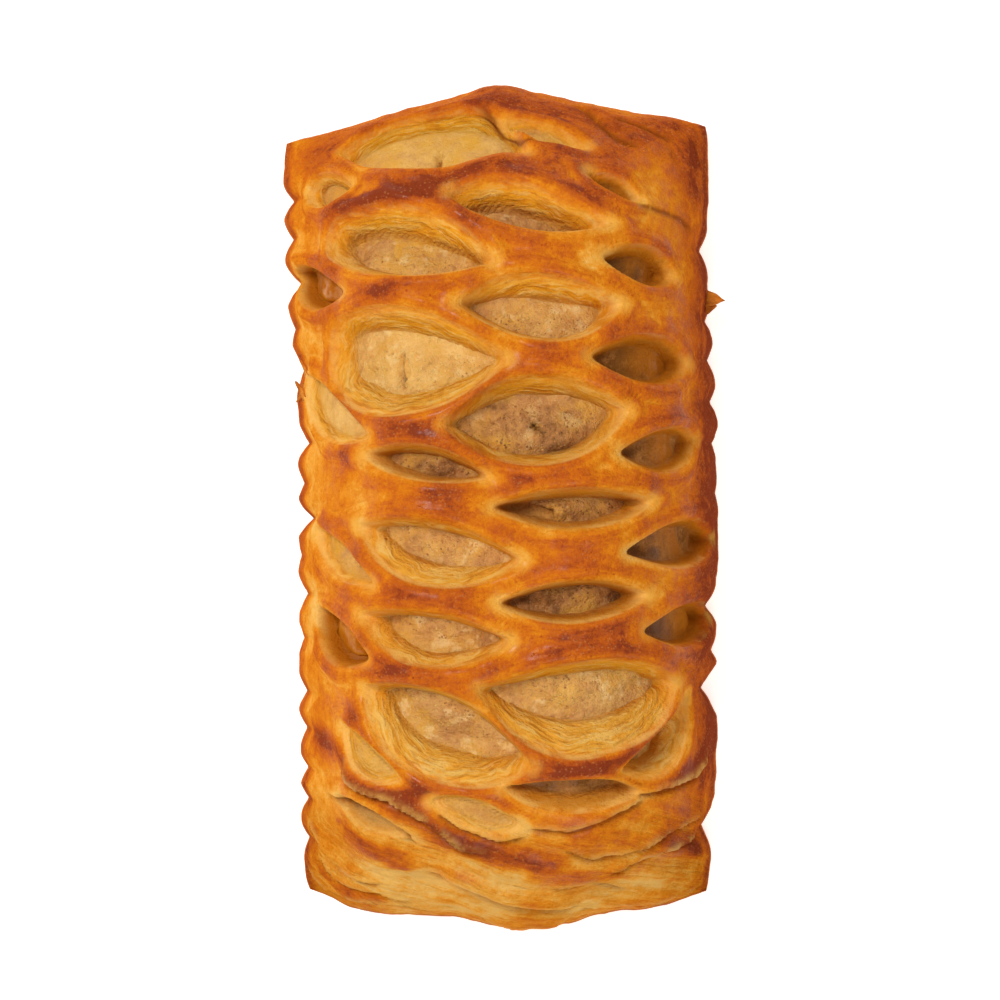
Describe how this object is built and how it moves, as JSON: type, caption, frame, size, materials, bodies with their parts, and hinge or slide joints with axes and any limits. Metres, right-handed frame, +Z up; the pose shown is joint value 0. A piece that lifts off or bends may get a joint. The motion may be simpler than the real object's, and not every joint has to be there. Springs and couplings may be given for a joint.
{
  "type": "chicken nugget pastry roll",
  "caption": "Long baked puff pastry roll with a slit lattice top, scalloped long edges and folded ends, showing a pale meat filling through its lens-shaped openings.",
  "frame": {"origin": "middle of the flat underside", "axes": "+Z up from the underside, +Y along the length towards the end that comes to a low peak, +X across"},
  "size_m": [0.0676, 0.1314, 0.0348],
  "materials": {
    "baked_pastry": "egg-washed puff pastry, golden with red-brown crests and pale layers, semi-gloss",
    "meat_filling": "pale tan cooked filling, slightly moist"
  },
  "bodies": {
    "root": {"crust": "baked_pastry", "filling": "meat_filling"}
  },
  "joints": []
}
